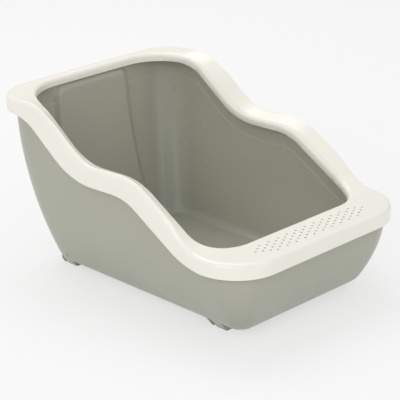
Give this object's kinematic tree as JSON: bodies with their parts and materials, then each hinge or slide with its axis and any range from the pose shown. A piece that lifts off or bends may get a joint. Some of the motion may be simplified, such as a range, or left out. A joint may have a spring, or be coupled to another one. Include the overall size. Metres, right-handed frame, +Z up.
{
  "type": "litter tray",
  "caption": "Open litter tray: deep tub with a high back and low front, under a lift-off rim frame with a perforated front step.",
  "frame": {"origin": "on the floor, below the middle of the rim frame's outline", "axes": "+Z up, -Y towards the low front with the perforated step, +X towards the right side seen from the front"},
  "size_m": [0.392, 0.54, 0.2895],
  "materials": {
    "tub_plastic": "grey-green moulded plastic with a satin gloss",
    "frame_plastic": "warm white moulded plastic with a soft gloss"
  },
  "bodies": {
    "tub": {"tray_tub": "tub_plastic"},
    "frame": {"rim_frame": "frame_plastic"}
  },
  "joints": [
    {"name": "frame_lift", "type": "slide", "parent": "tub", "child": "frame", "axis": [0, 0, 1], "range_m": [0, 0.2]}
  ]
}
